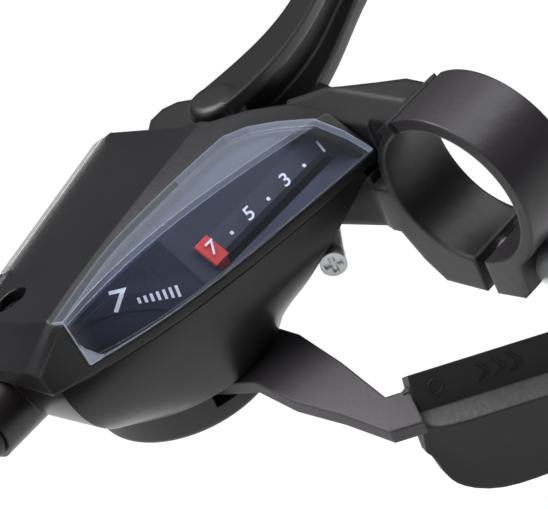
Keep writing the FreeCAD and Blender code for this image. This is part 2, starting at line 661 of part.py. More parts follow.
def make_brake_pin():
    low, high = PIVOT_BLOCK_Z
    pin = post(BRAKE_PIVOT, BRAKE_PIN_R, low - BRAKE_PIN_TAIL, high)
    head = post(BRAKE_PIVOT, BRAKE_PIN_R + BRAKE_PIN_RIM, high, high + BRAKE_PIN_HEAD_H)
    return pin.fuse(head).removeSplitter()


def make_reach_screw():
    shank = rod(REACH_HEAD, REACH_TIP, REACH_R)
    face = REACH_HEAD - REACH_DIR * REACH_HEAD_H
    head = rod(face, REACH_HEAD, REACH_HEAD_R)
    for side in (V(-REACH_DIR.y, REACH_DIR.x, 0), UP):
        head = head.cut(rod(face - side * REACH_RECESS, face + side * REACH_RECESS, RECESS_R))
    return shank.fuse(head).removeSplitter()


def adjuster(y, z, thread_x, barrel_x, barrel_r, seat_x, grooves):
    thread = bar_rod(thread_x[0], thread_x[1], y, z, ADJUSTER_R)
    shape = bar_rod(barrel_x[0], barrel_x[1], y, z, barrel_r).fuse(thread).removeSplitter()
    count, groove_at, groove_r, groove_x = grooves
    start = barrel_x[0] - OVER
    for k in range(count):
        at = around(CENTRE, groove_at, 360.0 * k / count)
        shape = shape.cut(bar_rod(start, groove_x, y + at.x, z + at.y, groove_r))
    shape = shape.cut(bar_rod(start, seat_x, y, z, CABLE_SEAT_R))
    return shape.cut(bar_rod(start, thread_x[1] + OVER, y, z, CABLE_BORE_R))


def make_brake_adjuster():
    return adjuster(CABLE_Y, CABLE_Z, BRAKE_THREAD_X, BRAKE_BARREL_X, BRAKE_BARREL_R, BRAKE_SEAT_X, BRAKE_GROOVES)


def make_locknut():
    x0, x1 = LOCKNUT_X
    ring = bar_rod(x0, x1, CABLE_Y, CABLE_Z, LOCKNUT_R)
    count, groove_at, groove_r = LOCKNUT_GROOVES
    for k in range(count):
        at = around(CENTRE, groove_at, 360.0 * k / count)
        ring = ring.cut(bar_rod(x0 - OVER, x1 + OVER, CABLE_Y + at.x, CABLE_Z + at.y, groove_r))
    return ring.cut(bar_rod(x0 - OVER, x1 + OVER, CABLE_Y, CABLE_Z, ADJUSTER_R + SNUG))


# Upper cover, lens, badge, dial and indicator
def window_corner(grow):
    # The front edge of the window sweeps back to a point at the outboard end
    edge = [(x + grow, y + grow) for x, y in WINDOW_SWEEP]
    return prism([(edge[0][0], FAR)] + edge + [(FAR, edge[-1][1]), (FAR, FAR)], -FAR, FAR)


def lens_loft(outer, inner, stretch, stations):
    sections = []
    for s in stations:
        line = stretched(window_line(s), stretch)
        sections.append((unit_x(s), shifted(line, -outer) + shifted(line, inner)[::-1]))
    return along_x(sections).cut(window_corner(stretch))


def cover_corner(grow):
    # The front outboard corner of the cover is cut back beside the brake lever
    edge = [(x - grow, y - grow) for x, y in COVER_CORNER]
    lead_x = edge[0][0] + COVER_CORNER_LEAD[0]
    lead_y = edge[0][1] - COVER_CORNER_LEAD[1]
    return prism([(FAR, lead_y), (lead_x, lead_y)] + edge + [(edge[-1][0], FAR), (FAR, FAR)], -FAR, FAR)


def make_cover():
    outer = along_x([(unit_x(s), cover_line(s)) for s in STATIONS]
                    + [(unit_x(UNIT_LEN + UNIT_END), end_line())])
    outer = outer.cut(cover_corner(0.0))
    sections = [(unit_x(s), shifted(deepened(cover_line(s), COVER_DEEP), SHELL_T))
                for s in [SHELL_T] + STATIONS[1:]]
    shape = outer.cut(along_x(sections).cut(cover_corner(SHELL_T)))
    shape = shape.cut(lens_loft(POCKET_REACH, LENS_T - LENS_PROUD + SNUG, SNUG, POCKET_STATIONS))
    shape = shape.cut(lens_loft(OPEN_REACH, OPEN_REACH, -LEDGE, OPEN_STATIONS))
    pocket = post(COVER_SCREW, COVER_SCREW_POCKET_R, COVER_SCREW_Z[1], FAR)
    hole = bore(COVER_SCREW, COVER_SCREW_HOLE_R)
    sleeve = post(COVER_SCREW, COVER_SLEEVE_R, PART_Z, COVER_SLEEVE_Z).cut(pocket).cut(hole).common(outer)
    return shape.cut(pocket).cut(hole).fuse(sleeve).removeSplitter()


def make_cover_screw():
    end_z, seat_z, top_z = COVER_SCREW_Z
    head = post(COVER_SCREW, COVER_SCREW_HEAD_R, seat_z, top_z)
    shape = head.fuse(post(COVER_SCREW, COVER_SCREW_R, end_z, seat_z)).removeSplitter()
    middle = V(COVER_SCREW.x, COVER_SCREW.y, top_z)
    for side in (BAR_WAY, UP.cross(BAR_WAY)):
        shape = shape.cut(rod(middle - side * COVER_SCREW_RECESS, middle + side * COVER_SCREW_RECESS, RECESS_R))
    return shape


def make_lens():
    return lens_loft(LENS_PROUD, LENS_T - LENS_PROUD, 0.0, LENS_STATIONS)


def make_badge():
    sections = []
    for s in BADGE_STATIONS:
        edge = [(badge_y(s), BADGE_Z), (badge_y(s) + BADGE_W, BADGE_Z - BADGE_DROP)]
        line = stretched(edge, -BADGE_IN)
        sections.append((unit_x(s), shifted(line, -BADGE_T) + line[::-1]))
    return along_x(sections)


def dial_point(along, depth):
    a = math.radians(SLOPE_DEG)
    y = NUMBER_Y + along * math.cos(a) + depth * math.sin(a)
    return (y, NUMBER_Z + along * math.sin(a) - depth * math.cos(a))


def inner_space(inset):
    sections = [(unit_x(s), shifted(deepened(cover_line(s), DIAL_DEEP), inset))
                for s in [DIAL_START] + STATIONS[1:-1] + [UNIT_LEN - CLEAR]]
    return along_x(sections).cut(cover_corner(inset))


def make_dial():
    low = dial_point(DIAL_ALONG[0], DIAL_DEPTH)
    top = dial_point(DIAL_ALONG[1], DIAL_DEPTH)
    line = [(REAR_Y, low[1]), low, top, (top[0] + DIAL_BACK[0], top[1] + DIAL_BACK[1])]
    profile = line + shifted(line, DIAL_T)[::-1]
    plate = along_x([(x, profile) for x in DIAL_X]).common(inner_space(DIAL_IN))
    # Past the numbers the plate follows the window down to its inboard corner
    sections = []
    for s in TRAY_STATIONS:
        line = stretched(window_line(s)[:2], TRAY_REACH)
        sections.append((unit_x(s), shifted(line, TRAY_DEPTH) + shifted(line, TRAY_DEPTH + DIAL_T)[::-1]))
    tray = along_x(sections).common(inner_space(TRAY_IN))
    stem_y = dial_point(STEM_ALONG, DIAL_DEPTH)[0]
    slot = box(FIRST_X - STEM_SLOT_X, LAST_X + STEM_SLOT_X, stem_y + STEM_SLOT_Y[0], stem_y + STEM_SLOT_Y[1],
               STEM_SLOT_Z[0], STEM_SLOT_Z[1])
    return plate.fuse(tray).removeSplitter().cut(slot)


def make_indicator():
    pin = around(AXIS, CRANK_R, CRANK_DEG)
    gap = CRANK_PIN_R + FORK_PLAY
    half = gap + FORK_WALL
    tip_y = AXIS.y - CRANK_R - FORK_TIP
    low, high = FORK_Z
    fork = box(pin.x - half, pin.x + half, tip_y, pin.y + FORK_BACK[0], low, high)
    fork = fork.cut(box(pin.x - gap, pin.x + gap, tip_y - OVER, pin.y + FORK_BACK[1], low - OVER, high + OVER))
    side_x = pin.x + half - BAR_LAP
    end_x = FIRST_X + BAR_LAP
    bar = prism([(side_x, tip_y + BAR_Y[0]), (end_x, tip_y + BAR_Y[0]), (end_x, tip_y + BAR_Y[1]),
                 (FIRST_X + BAR_TAPER_X, tip_y + BAR_Y[2]), (side_x, tip_y + BAR_Y[2])], low, high)
    stem_y = dial_point(STEM_ALONG, DIAL_DEPTH)[0]
    wide, deep = STEM_HALF
    foot = box(FIRST_X - wide, FIRST_X + wide, stem_y - deep, tip_y + FOOT_Y, low, high)
    stem = box(FIRST_X - wide, FIRST_X + wide, stem_y - deep, stem_y + deep, low, dial_point(*STEM_TOP)[1])
    flag_line = [dial_point(along, FLAG_DEPTH) for along in FLAG_ALONG]
    flag_profile = flag_line + shifted(flag_line, -FLAG_T)[::-1]
    flag = along_x([(FIRST_X - FLAG_HALF_W, flag_profile), (FIRST_X + FLAG_HALF_W, flag_profile)])
    return fork.fuse([bar, foot, stem, flag]).removeSplitter()


# Lower housing, base plate, cap and shift cable adjuster
RELEASE_PIVOT = around(AXIS, RELEASE_R, RELEASE_DEG)
FEED_PIVOT = around(AXIS, FEED_R, FEED_DEG)
STOP_PIVOT = around(AXIS, STOP_R, STOP_DEG)


def housing_wire(rear_points, front_points):
    rear = Part.BSplineCurve()
    rear.interpolate(rear_points)
    front = Part.BSplineCurve()
    front.interpolate(front_points)
    ends = [Part.makeLine(rear_points[-1], front_points[0]), Part.makeLine(front_points[-1], rear_points[0])]
    return Part.Wire([rear.toShape(), ends[0], front.toShape(), ends[1]])


def between(pair, share):
    return pair[0] + (pair[1] - pair[0]) * share


def housing_loft(inset, top_z, base_z):
    top = ([], [])
    middle = ([], [])
    stop = HOUSING_STOP - inset
    for k in range(HOUSING_REAR_POINTS):
        share = k / (HOUSING_REAR_POINTS - 1)
        s = between((HOUSING_START + inset, stop), share)
        past = max(0, s - UNIT_LEN) * HOUSING_END_IN
        top[0].append(V(unit_x(s), rear_y(min(s, UNIT_LEN)) + inset + past, top_z))
        m = between((HOUSING_MID_IN[0] + inset, stop - HOUSING_MID_IN[1]), share)
        middle[0].append(V(unit_x(m), rear_y(m) + HOUSING_MID_REAR + inset, HOUSING_MID_Z))
    for k in range(HOUSING_FRONT_POINTS):
        share = k / (HOUSING_FRONT_POINTS - 1)
        x = between((unit_x(stop), HOUSING_FRONT_X - inset), share)
        y = HOUSING_FRONT_Y - inset - HOUSING_FRONT_FALL * (1 - share) ** 3
        top[1].append(V(x, y, top_z))
        middle[1].append(V(x + HOUSING_MID_FRONT[0] * (1 - share), y - HOUSING_MID_FRONT[1], HOUSING_MID_Z))
    shares = [k / (HOUSING_FRONT_POINTS - 1) for k in range(HOUSING_FRONT_POINTS)]
    base = [[around(AXIS, HOUSING_R - inset, between(turn, share), base_z) for share in shares]
            for turn in (HOUSING_REAR_DEG, HOUSING_FRONT_DEG)]
    return Part.makeLoft([housing_wire(*top), housing_wire(*middle), housing_wire(*base)], True, False)


def make_housing():
    outer = housing_loft(0.0, PART_Z - SNUG, HOUSING_BASE_Z)
    inner = housing_loft(SHELL_T, PART_Z + OVER / 2, HOUSING_BASE_Z + FLOOR_T)
    snout = bar_rod(SNOUT_X[0], SNOUT_X[1], SNOUT_Y, SNOUT_Z, SNOUT_R)
    shape = outer.fuse(snout).removeSplitter().cut(inner)
    shape = shape.cut(bar_rod(SNOUT_X[0] - OVER, SNOUT_HOLE_X, SNOUT_Y, SNOUT_Z, ADJUSTER_R + SNUG))
    shape = shape.cut(post(AXIS, FLOOR_HOLE_R, HOUSING_BASE_Z - OVER, FLOOR_HOLE_Z))
    shape = shape.cut(box(RELEASE_GATE_X[0], RELEASE_GATE_X[1], RELEASE_GATE_Y[0], RELEASE_GATE_Y[1],
                          RELEASE_Z[0] - RELEASE_PLAY, RELEASE_Z[1] + RELEASE_PLAY))
    half = COLUMN_WEB_W / 2
    web = box(COVER_SCREW.x - half, COVER_SCREW.x + half, COVER_SCREW.y, FAR, COLUMN_Z, PART_Z - SNUG)
    column = post(COVER_SCREW, COLUMN_R, COLUMN_Z, PART_Z - SNUG).fuse(web).common(outer)
    column = column.cut(post(COVER_SCREW, COVER_SCREW_HOLE_R, COLUMN_Z + COLUMN_FLOOR, FAR))
    boss = bar_rod(UNIT_BOSS_X[0], UNIT_BOSS_X[1], UNIT_BOLT_Y, UNIT_BOLT_Z, UNIT_BOSS_R)
    # The outboard wall stands a hair off the bracket's beam
    (x0, y0), (x1, y1) = GAP_LINE
    rear_y0 = y0 - SPLIT_REAR[1]
    beside = prism([(SPLIT_X, rear_y0), (x0 - SNUG - SPLIT_REAR[0], rear_y0), (x0 - SNUG, y0), (x1 - SNUG, y1),
                    (SPLIT_X, y1)], -FAR, PART_Z - SNUG)
    hole = bar_rod(UNIT_BOLT_X - OVER, 0, UNIT_BOLT_Y, UNIT_BOLT_Z, UNIT_BOLT_R + SNUG)
    shape = shape.fuse([column, boss.common(beside)]).removeSplitter().cut(hole)
    return shape.common(beside.fuse(box(-FAR, SPLIT_X, 0, FAR, -FAR, FAR)))


def make_unit_bolt():
    shank = bar_rod(UNIT_BOLT_X, UNIT_HEAD_X, UNIT_BOLT_Y, UNIT_BOLT_Z, UNIT_BOLT_R)
    head_x = UNIT_HEAD_X + UNIT_HEAD_H
    head = bar_rod(UNIT_HEAD_X, head_x, UNIT_BOLT_Y, UNIT_BOLT_Z, UNIT_HEAD_R)
    shape = shank.fuse(head).removeSplitter()
    return shape.cut(bar_rod(UNIT_SOCKET_X, head_x + OVER, UNIT_BOLT_Y, UNIT_BOLT_Z, UNIT_SOCKET_R))


def make_base_plate():
    plate = post(AXIS, BASE_R, BASE_Z[0], BASE_Z[1]).cut(bore(AXIS, AXLE_R + SNUG))
    slot = sector(AXIS, FEED_R - FEED_SLOT_HALF, FEED_R + FEED_SLOT_HALF, FEED_DEG - FEED_SLOT_DEG,
                  FEED_DEG + THUMB_SWING_DEG + FEED_SLOT_DEG, -FAR, FAR)
    for at in (STOP_PIVOT, RELEASE_PIVOT):
        plate = plate.fuse(post(at, BASE_EAR_R, BASE_Z[0], BASE_Z[1]))
    plate = plate.removeSplitter().cut(slot)
    return plate.common(housing_loft(SHELL_T + SNUG, PART_Z, HOUSING_BASE_Z + FLOOR_T))


def make_axle():
    shaft = post(AXIS, AXLE_R, AXLE_Z[0], AXLE_Z[1])
    return shaft.fuse(post(AXIS, AXLE_HEAD_R, AXLE_Z[0], AXLE_Z[0] + AXLE_HEAD_H)).removeSplitter()


def make_axle_nut():
    corners = [around(AXIS, AXLE_NUT_W / math.sqrt(3), 60.0 * k) for k in range(6)]
    nut = prism([(c.x, c.y) for c in corners], AXLE_NUT_Z[0], AXLE_NUT_Z[1])
    return nut.cut(bore(AXIS, AXLE_R + SEAT_GAP))


def make_cap():
    cup = post(AXIS, CAP_R, CAP_BASE_Z, HOUSING_BASE_Z - SEAT_GAP)
    cup = cup.makeFillet(CAP_ROUND, [cup.Edges[2]])
    cup = cup.cut(post(AXIS, CAP_R - SHELL_T, CAP_BASE_Z + SHELL_T, 0))
    return cup.cut(sector(AXIS, CAP_R - CAP_GATE_DEEP, CAP_R + CAP_GATE_DEEP, CAP_GATE_DEG[0], CAP_GATE_DEG[1],
                          CAP_GATE_Z, HOUSING_BASE_Z + OVER))


def make_shift_adjuster():
    return adjuster(SNOUT_Y, SNOUT_Z, SHIFT_THREAD_X, SHIFT_BARREL_X, SHIFT_BARREL_R, SHIFT_SEAT_X, SHIFT_GROOVES)


# Drum, pawls and pins
def make_drum():
    low = ratchet(LOW_TEETH_R, LOW_TEETH_Z[0], LOW_TEETH_Z[1])
    core = post(AXIS, DRUM_CORE_R, LOW_TEETH_Z[0], CRANK_Z[1])
    rims = [post(AXIS, DRUM_RIM_R, LOW_TEETH_Z[1], GROOVE_Z[0]), post(AXIS, DRUM_RIM_R, GROOVE_Z[1], TOP_TEETH_Z[0])]
    groove = post(AXIS, DRUM_R, GROOVE_Z[0], GROOVE_Z[1])
    top = ratchet(DRUM_R, TOP_TEETH_Z[0], TOP_TEETH_Z[1])
    pin = around(AXIS, CRANK_R, CRANK_DEG)
    crank_plan = [(AXIS.x + x, AXIS.y + y) for x, y in CRANK_ROOT] + [(pin.x + x, pin.y + y) for x, y in CRANK_END]
    crank = prism(crank_plan, CRANK_Z[0], CRANK_Z[1])
    crank_pin = post(pin, CRANK_PIN_R, CRANK_Z[0], FORK_Z[1] + CRANK_PIN_TOP)
    shape = core.fuse(rims + [low, groove, top, crank, crank_pin]).removeSplitter()
    return shape.cut(bore(AXIS, AXLE_R + RUN_FIT))


def pawl(pivot, nose, width, z0, z1):
    arm = nose - pivot
    side = V(-arm.y, arm.x, 0).normalize() * (width / 2)
    body = prism([(p.x, p.y) for p in (pivot - side, pivot + side, nose)], z0, z1)
    return body.fuse(post(pivot, width / 2, z0, z1)).removeSplitter().cut(bore(pivot, PAWL_PIN_R + RUN_FIT))


def make_feed_pawl():
    nose = around(AXIS, FEED_NOSE_R, FEED_DEG + FEED_NOSE_DEG)
    return pawl(FEED_PIVOT, nose, FEED_W, LOW_TEETH_Z[0], LOW_TEETH_Z[1] - FEED_TOP_GAP)


def make_stop_pawl():
    nose = around(AXIS, STOP_NOSE_R, STOP_DEG + STOP_NOSE_DEG)
    return pawl(STOP_PIVOT, nose, STOP_W, TOP_TEETH_Z[0] + STOP_LIFT, TOP_TEETH_Z[1])


# Thumb lever and its pad
def arm_point(x, y):
    return V(x, y, HUB_Z - ARM_FALL * (BEND_Y - y))


def plate_from(points):
    return Part.Face(wire(points)).extrude(UP * -STEEL_T)


def make_thumb_arm():
    hub = post(AXIS, HUB_R, HUB_Z - STEEL_T, HUB_Z)
    bends = [(BEND_X[0], BEND_Y), (BEND_X[1], BEND_Y)]
    neck = prism([bends[0]] + list(NECK_TOP) + [bends[1]], HUB_Z - STEEL_T, HUB_Z)
    slope_plan = bends + list(SLOPE_INNER) + [BEND[1], BEND[0], SLOPE_OUTER]
    slope = plate_from([arm_point(x, y) for x, y in slope_plan])
    outer, inner = [arm_point(x, y) for x, y in BEND]
    ends = [p - PAD_ALONG * ((p - PAD_START).dot(PAD_ALONG) + TONGUE_IN) for p in (outer, inner)]
    last = plate_from([outer, inner, ends[1], ends[0]])
    root = ends[0] - PAD_ALONG * TONGUE_ROOT
    tongue = plate_from([root + PAD_ALONG * along + PAD_BACK * behind for along, behind in TONGUE_PLAN])
    shape = hub.fuse([neck, slope, last, tongue]).removeSplitter()
    return shape.cut(bore(AXIS, AXLE_R + RUN_FIT)).cut(bore(FEED_PIVOT, PAWL_PIN_R + PRESS_FIT))


def make_thumb_pad():
    outline = Part.BSplineCurve()
    outline.interpolate([V(part, height, thick) for part, height, thick in PAD_OUTLINE])
    reach = (outline.FirstParameter, outline.LastParameter)
    wires = []
    for k in range(PAD_STATIONS):
        at = outline.value(between(reach, k / (PAD_STATIONS - 1)))
        part, height, thick = at.x, PAD_H * at.y, at.z
        ledge = min(height * PAD_LEDGE[0], PAD_LEDGE[1])
        profile = [PAD_TOP, (0.0, 0.0), (PAD_LIP[0], -ledge * PAD_LIP[1])]
        profile.append((PAD_LIP[0] + PAD_LEDGE_OUT * thick, -ledge))
        profile += [(PAD_LIP[0] + out * thick, -height * down) for out, down in PAD_DISH]
        profile += [(out * thick, -height * down) for out, down in PAD_FOOT]
        start = PAD_START + PAD_ALONG * (PAD_LEN * part)
        wires.append(wire([start + PAD_BACK * out + PAD_RISE * up for out, up in profile]))
    return Part.makeLoft(wires, True, True).cut(make_thumb_arm())


# Release lever
def make_release_arm():
    p = RELEASE_PIVOT
    root = [(p.x + x, p.y + y) for x, y in RELEASE_ROOT]
    shape = prism(root + list(RELEASE_REACH), RELEASE_Z[0], RELEASE_Z[1])
    return shape.cut(bore(p, RELEASE_PIN_R + RUN_FIT))


def make_release_pad():
    shape = prism(RELEASE_PAD_PLAN, RELEASE_PAD_Z[0], RELEASE_PAD_Z[1])
    return shape.cut(prism(RELEASE_REACH, RELEASE_Z[0] - SEAT_GAP, RELEASE_Z[1] + SEAT_GAP))


save("bracket", make_bracket())
save("clamp_band", make_band())
save("clamp_bolt", make_clamp_bolt())
save("brake_lever", make_lever())
save("brake_pivot_pin", make_brake_pin())
save("brake_return_spring",
     coil(BRAKE_PIVOT, BRAKE_SPRING_R, BRAKE_BOSS_Z[1] - BRAKE_SPRING_DEPTH, BRAKE_SPRING_TURNS))
save("reach_screw", make_reach_screw())
save("brake_adjuster", make_brake_adjuster())
save("brake_adjuster_locknut", make_locknut())
save("upper_cover", make_cover())
save("cover_screw", make_cover_screw())
save("lens", make_lens())
save("badge_plate", make_badge())
save("dial_plate", make_dial())
save("indicator", make_indicator())
save("lower_housing", make_housing())
save("unit_bolt", make_unit_bolt())
save("base_plate", make_base_plate())
save("main_axle", make_axle())
save("axle_nut", make_axle_nut())
save("bottom_cap", make_cap())
save("shift_adjuster", make_shift_adjuster())
save("cable_drum", make_drum())
save("drum_spring", coil(AXIS, DRUM_SPRING_R, CRANK_Z[1] + DRUM_SPRING_LIFT, DRUM_SPRING_TURNS))
save("feed_pawl", make_feed_pawl())
save("feed_pawl_pin", post(FEED_PIVOT, PAWL_PIN_R, FEED_PIN_Z[0], FEED_PIN_Z[1]))
save("stop_pawl", make_stop_pawl())
save("stop_pawl_pin", post(STOP_PIVOT, PAWL_PIN_R, BASE_Z[1], TOP_TEETH_Z[1] + STOP_PIN_TOP))
save("thumb_arm", make_thumb_arm())
save("thumb_pad", make_thumb_pad())
save("thumb_return_spring", coil(AXIS, THUMB_SPRING_R, THUMB_SPRING_Z, THUMB_SPRING_TURNS))
save("release_arm", make_release_arm())
save("release_pad", make_release_pad())
save("release_pin", post(RELEASE_PIVOT, RELEASE_PIN_R, BASE_Z[1], RELEASE_Z[1] + RELEASE_PIN_TOP))
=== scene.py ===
import bpy
import bmesh
import math
from mathutils import Matrix, Vector
from mathutils.bvhtree import BVHTree


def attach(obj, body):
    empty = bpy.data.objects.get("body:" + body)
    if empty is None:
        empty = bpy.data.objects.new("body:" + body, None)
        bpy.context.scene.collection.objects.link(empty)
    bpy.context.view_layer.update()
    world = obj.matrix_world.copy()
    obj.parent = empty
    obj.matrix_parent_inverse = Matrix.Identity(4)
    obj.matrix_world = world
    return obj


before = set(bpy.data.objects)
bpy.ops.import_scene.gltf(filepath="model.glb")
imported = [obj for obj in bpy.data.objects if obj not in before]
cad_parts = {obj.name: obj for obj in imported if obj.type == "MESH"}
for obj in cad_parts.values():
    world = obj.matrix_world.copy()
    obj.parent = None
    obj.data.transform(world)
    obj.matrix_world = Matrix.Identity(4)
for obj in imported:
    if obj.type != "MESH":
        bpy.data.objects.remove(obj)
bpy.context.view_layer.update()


# Bracket and brake lever
# Pressure-cast alloy arms with a satin black paint that hides most of the grain.
# The bracket bolts round the bar, and the lever turns in its two ears on a plain pin.
class Tap:
    """A value in a finish's node tree that takes plain arithmetic."""

    def __init__(self, tree, socket):
        self.tree = tree
        self.socket = socket

    def feed(self, target):
        self.tree.links.new(self.socket, target)

    def _math(self, operation, first, second):
        node = self.tree.nodes.new("ShaderNodeMath")
        node.operation = operation
        for place, value in zip(node.inputs, (first, second)):
            if isinstance(value, Tap):
                value.feed(place)
            else:
                place.default_value = value
        return Tap(self.tree, node.outputs[0])

    def __add__(self, other):
        return self._math("ADD", self, other)

    def __radd__(self, other):
        return self._math("ADD", other, self)

    def __sub__(self, other):
        return self._math("SUBTRACT", self, other)

    def __rsub__(self, other):
        return self._math("SUBTRACT", other, self)

    def __mul__(self, other):
        return self._math("MULTIPLY", self, other)

    def __rmul__(self, other):
        return self._math("MULTIPLY", other, self)

    def __gt__(self, other):
        return self._math("GREATER_THAN", self, other)


class Finish:
    """One material, built node by node on its own surface shader."""

    def __init__(self, name):
        self.material = bpy.data.materials.new(name)
        self.material.use_nodes = True
        self.tree = self.material.node_tree
        self.shader = self.tree.nodes["Principled BSDF"]

    def node(self, kind, settings=None, inputs=None, output=0):
        node = self.tree.nodes.new(kind)
        for key, value in (settings or {}).items():
            setattr(node, key, value)
        self.fill(node, inputs or {})
        return Tap(self.tree, node.outputs[output])

    def fill(self, node, inputs):
        for key, value in inputs.items():
            if isinstance(value, Tap):
                value.feed(node.inputs[key])
            else:
                node.inputs[key].default_value = value

    def blend(self, share, first, second):
        return self.node("ShaderNodeMix", {"data_type": "RGBA"},
                         {0: share, 6: first, 7: second}, 2)

    def grain(self, scale, detail=2.0, stretch=(1.0, 1.0, 1.0)):
        place = self.node("ShaderNodeTexCoord", output="Object")
        place = self.node("ShaderNodeMapping", {}, {"Vector": place, "Scale": stretch})
        return self.node("ShaderNodeTexNoise", {}, {"Vector": place, "Scale": scale, "Detail": detail})

    def facing(self, first, second):
        return self.node("ShaderNodeVectorMath", {"operation": "DOT_PRODUCT"}, {0: first, 1: second}, "Value")

    def bump(self, height, strength, depth, normal=None):
        inputs = {"Height": height, "Strength": strength, "Distance": depth}
        if normal is not None:
            inputs["Normal"] = normal
        return self.node("ShaderNodeBump", {}, inputs)

    def clamp(self, value):
        return self.node("ShaderNodeClamp", {}, {"Value": value})

    def soft_edges(self, radius):
        return self.node("ShaderNodeBevel", {"samples": 6}, {"Radius": radius})

    def edge_share(self, rounded, gain=6.0):
        flat = self.node("ShaderNodeNewGeometry", output="Normal")
        return self.clamp((1.0 - self.facing(rounded, flat)) * gain)

    def surface(self, **values):
        self.fill(self.shader, {key.replace("_", " "): value for key, value in values.items()})
        return self.material


def moulded(name, colour, roughness, grain, depth, edge=0.25, radius=0.0003, tint=0.25):
    """A coloured skin with fine grain, slow colour drift and edges painted a little paler as a painted
    highlight.
    """
    drift_scale, drift_gain, rough_spread = 45.0, 1.35, 0.12
    highlight_gain, highlight_lift = 1.7, 0.015
    f = Finish(name)
    rounded = f.soft_edges(radius)
    drift = f.grain(drift_scale, 3.0)
    lighter = tuple(c * drift_gain for c in colour) + (1.0,)
    # The paler edge tone is a painted highlight along the edges.
    edge_highlight_tone = tuple(min(1.0, c * highlight_gain + highlight_lift) for c in colour) + (1.0,)
    base = f.blend(drift * tint, colour + (1.0,), lighter)
    base = f.blend(f.edge_share(rounded) * edge, base, edge_highlight_tone)
    bump = f.bump(f.grain(grain), 1.0, depth, rounded)
    uneven = roughness - rough_spread / 2 + drift * rough_spread
    return f.surface(Base_Color=base, Roughness=uneven, Metallic=0.0, Normal=bump)


def dress(node, material, degrees):
    """Gives a solid its finish, with soft shading across edges flatter than the angle."""
    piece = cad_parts[node]
    piece.data.materials.clear()
    piece.data.materials.append(material)
    piece.data.polygons.foreach_set("use_smooth", [True] * len(piece.data.polygons))
    weld = piece.modifiers.new("joined", "WELD")
    weld.merge_threshold = 1e-6
    split = piece.modifiers.new("edges", "EDGE_SPLIT")
    split.split_angle = math.radians(degrees)
    split.use_edge_sharp = False


cast_black = moulded("cast_black_paint", (0.0105, 0.0102, 0.0114),
                     roughness=0.40, grain=900.0, depth=0.00003, radius=0.0010)
dress("bracket", cast_black, degrees=28)
dress("brake_lever", cast_black, degrees=40)

# Clamp band
# A thinner casting that closes the clamp behind the bar; its paint is a shade warmer
# and glossier than the bracket's, and the bolt below draws it tight.
band_paint = moulded("band_paint", (0.026, 0.023, 0.027),
                     roughness=0.36, grain=700.0, depth=0.00004, radius=0.0005)
dress("clamp_band", band_paint, degrees=28)


# Zinc-plated fasteners, pins and springs
# Turned and rolled steel with thin bright plating, so the faces carry fine turning marks.
# Only the small screw in the cover is blackened.
def plated(name, colour, roughness, scale, stretch=(1.0, 1.0, 1.0), metal=0.8):
    """Bare or plated metal with fine tool marks and a cloudy tone."""
    cloud_scale, cloud_gain, cloud_share, rough_spread = 160.0, 0.72, 0.5, 0.16
    mark_depth, edge_radius = 0.00002, 0.0002
    f = Finish(name)
    cloud = f.grain(cloud_scale, 3.0)
    darker = tuple(c * cloud_gain for c in colour) + (1.0,)
    base = f.blend(cloud * cloud_share, colour + (1.0,), darker)
    bump = f.bump(f.grain(scale, 2.0, stretch), 0.6, mark_depth, f.soft_edges(edge_radius))
    uneven = roughness + cloud * rough_spread
    return f.surface(Base_Color=base, Metallic=metal, Roughness=uneven, Normal=bump)


TURNED = (1.0, 1.0, 0.1)
zinc = plated("zinc_plate", (0.78, 0.8, 0.81), roughness=0.27, scale=1400.0, stretch=TURNED)
spring_wire = plated("spring_wire", (0.5, 0.49, 0.47), roughness=0.28, scale=2000.0)
plate_steel = plated("pressed_plate", (0.55, 0.55, 0.56),
                     roughness=0.32, scale=900.0, stretch=(0.08, 1.0, 1.0))
blackened = plated("blackened_steel", (0.018, 0.018, 0.02), roughness=0.38, scale=1400.0, stretch=TURNED)
for node in ("clamp_bolt", "reach_screw", "unit_bolt", "brake_pivot_pin", "axle_nut", "main_axle",
             "feed_pawl_pin", "stop_pawl_pin", "release_pin"):
    dress(node, zinc, degrees=30)
dress("cover_screw", blackened, degrees=30)
for node in ("brake_return_spring", "drum_spring", "thumb_return_spring"):
    dress(node, spring_wire, degrees=50)
for node in ("base_plate", "feed_pawl", "stop_pawl"):
    dress(node, plate_steel, degrees=30)

# Reach screw thread
# A rolled thread on the bare length of the screw between its head and the bracket.
# It turns with the screw, and its ridge stands on the shank.
SCREW_HEAD = Vector((-0.0142, 0.0183, -0.0068))
SCREW_WAY = Vector((0.70, 0.714, 0.0)).normalized()
THREAD = {"Radius": 0.0014, "Pitch": 0.0009, "Turns": 10.5, "Ridge": 0.00034}
TURN_POINTS = 24
RIDGE_POINTS = 8


def open_tree(name, inputs):
    """A new node tree with its named inputs, and its input node."""
    tree = bpy.data.node_groups.new(name, "GeometryNodeTree")
    tree.interface.new_socket("Geometry", in_out="INPUT", socket_type="NodeSocketGeometry")
    for label, kind in inputs.items():
        tree.interface.new_socket(label, in_out="INPUT", socket_type="NodeSocket" + kind)
    tree.interface.new_socket("Geometry", in_out="OUTPUT", socket_type="NodeSocketGeometry")
    return tree, tree.nodes.new("NodeGroupInput")


def close_tree(tree, made, material):
    """Makes what was grown real, gives it its material and hands it out."""
    whole = tree.nodes.new("GeometryNodeRealizeInstances")
    paint = tree.nodes.new("GeometryNodeSetMaterial")
    sink = tree.nodes.new("NodeGroupOutput")
    tree.links.new(made, whole.inputs["Geometry"])
    tree.links.new(whole.outputs["Geometry"], paint.inputs["Geometry"])
    tree.links.new(material, paint.inputs["Material"])
    tree.links.new(paint.outputs["Geometry"], sink.inputs["Geometry"])


